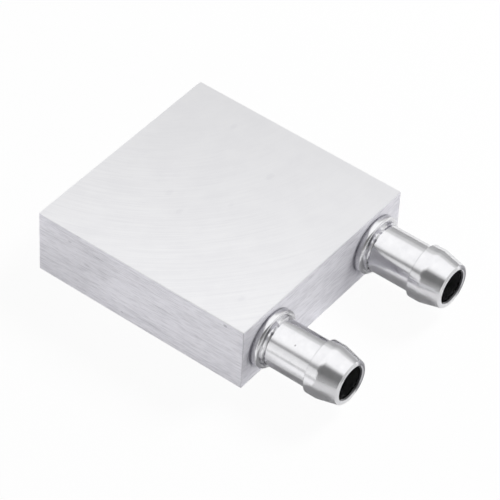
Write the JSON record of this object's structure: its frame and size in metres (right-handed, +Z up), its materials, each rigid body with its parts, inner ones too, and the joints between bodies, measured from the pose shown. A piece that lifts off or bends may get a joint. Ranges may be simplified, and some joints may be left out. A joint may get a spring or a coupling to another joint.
{
  "type": "liquid cooling cold plate",
  "caption": "Square aluminium cold plate with a hidden serpentine coolant channel and parallel hose barbs on one side, clamped flat against what it cools.",
  "frame": {"origin": "centre of the block's underside, the lower cooling face", "axes": "+Z up, across the block's thickness; -Y the way the hose barbs point; X across the two barbs"},
  "size_m": [0.04, 0.0553, 0.012],
  "materials": {
    "machined_aluminium": "fly-cut on the cooling faces, brushed lengthwise on the sides",
    "turned_aluminium": "bright turned",
    "braze_metal": "dull, as solidified"
  },
  "bodies": {
    "root": {"block_body": "machined_aluminium", "channel_cover": "machined_aluminium", "cover_braze_seam": "braze_metal", "inlet_barb": "turned_aluminium", "outlet_barb": "turned_aluminium", "inlet_braze_ring": "braze_metal", "outlet_braze_ring": "braze_metal"}
  },
  "joints": []
}
